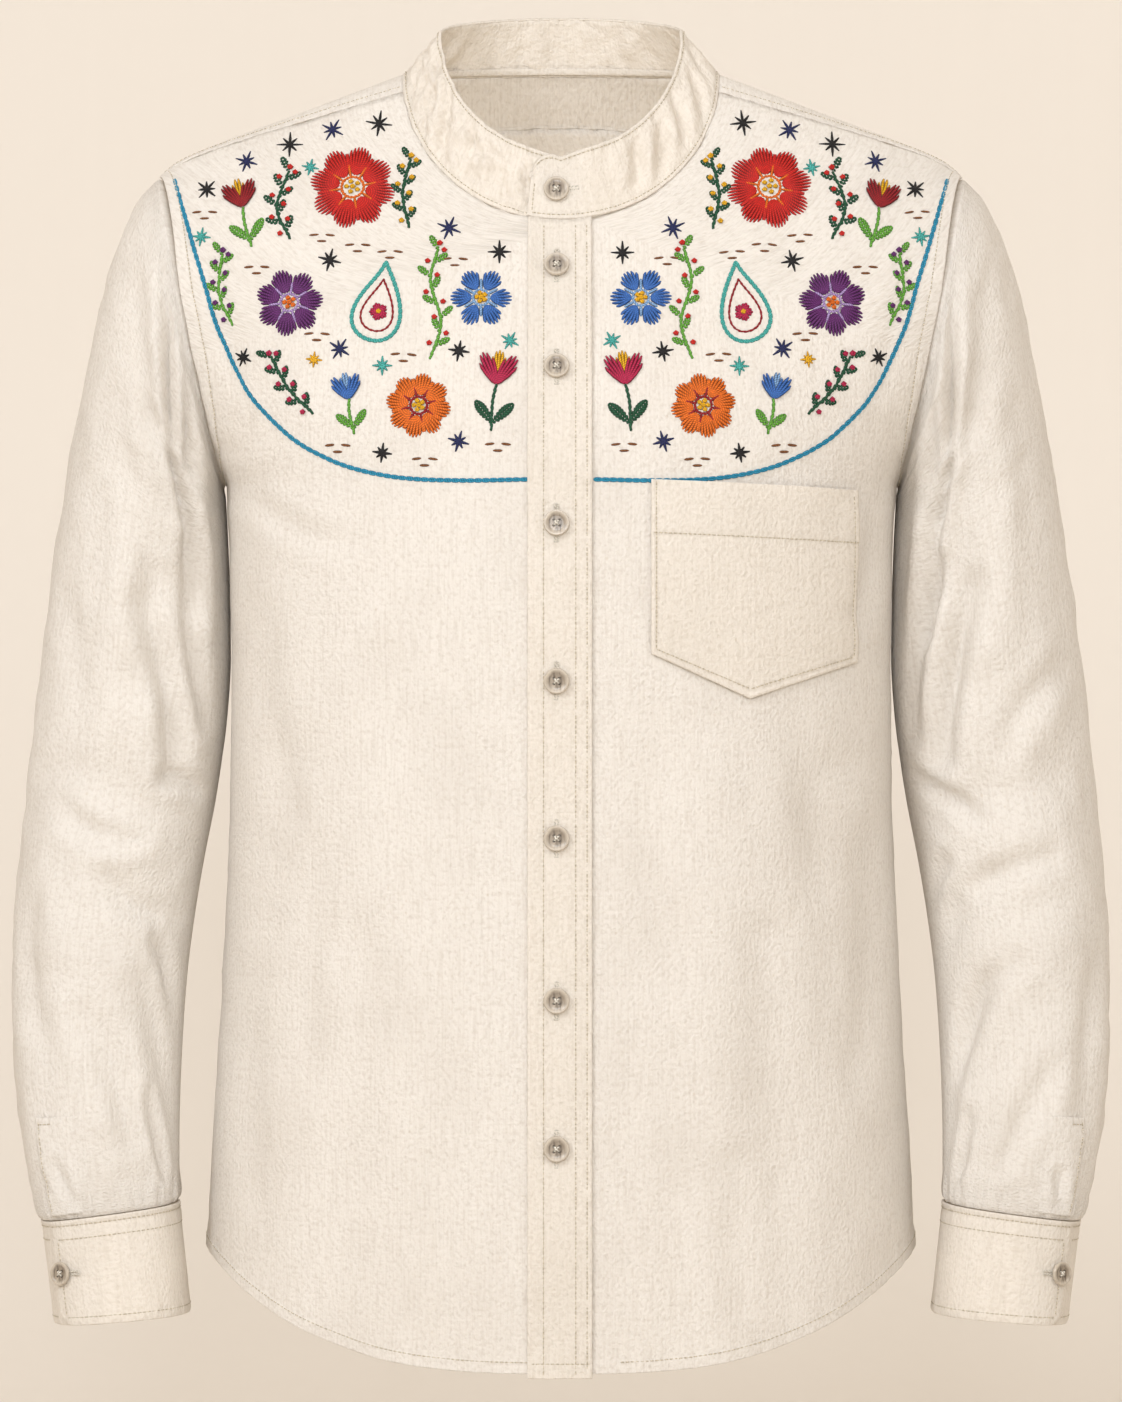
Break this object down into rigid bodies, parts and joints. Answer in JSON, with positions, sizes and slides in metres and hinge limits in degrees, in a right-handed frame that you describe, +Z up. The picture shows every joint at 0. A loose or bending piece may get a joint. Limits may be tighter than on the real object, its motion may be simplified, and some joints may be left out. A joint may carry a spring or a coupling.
{
  "type": "embroidered shirt",
  "caption": "Worn, hollow band-collar shirt with long sleeves, a button front, barrel cuffs, a chest pocket and a shirt-tail hem; embroidery lies on the chest.",
  "frame": {"origin": "midway between the points where the neck seam crosses the two shoulder lines, on the level that the wearer's shoulders carry", "axes": "+Z up, -Y towards the front, +X to the wearer's left"},
  "size_m": [0.6176, 0.2725, 0.7594],
  "materials": {
    "shirting": "plain-woven ivory cotton with a fine crepe surface",
    "thread": "stranded cotton embroidery thread in many colours",
    "button": "polished smoky grey-brown horn effect"
  },
  "bodies": {
    "root": {"front_right": "shirting", "front_left": "shirting", "back": "shirting", "yoke": "shirting", "collar_band": "shirting", "front_placket": "shirting", "chest_pocket": "shirting", "sleeve_right": "shirting", "sleeve_left": "shirting", "sleeve_placket_right": "shirting", "sleeve_placket_left": "shirting", "cuff_right": "shirting", "cuff_left": "shirting", "button_1": "button", "button_2": "button", "button_3": "button", "button_4": "button", "button_5": "button", "button_6": "button", "button_7": "button", "button_8": "button", "cuff_button_right": "button", "cuff_button_left": "button"}
  },
  "joints": []
}
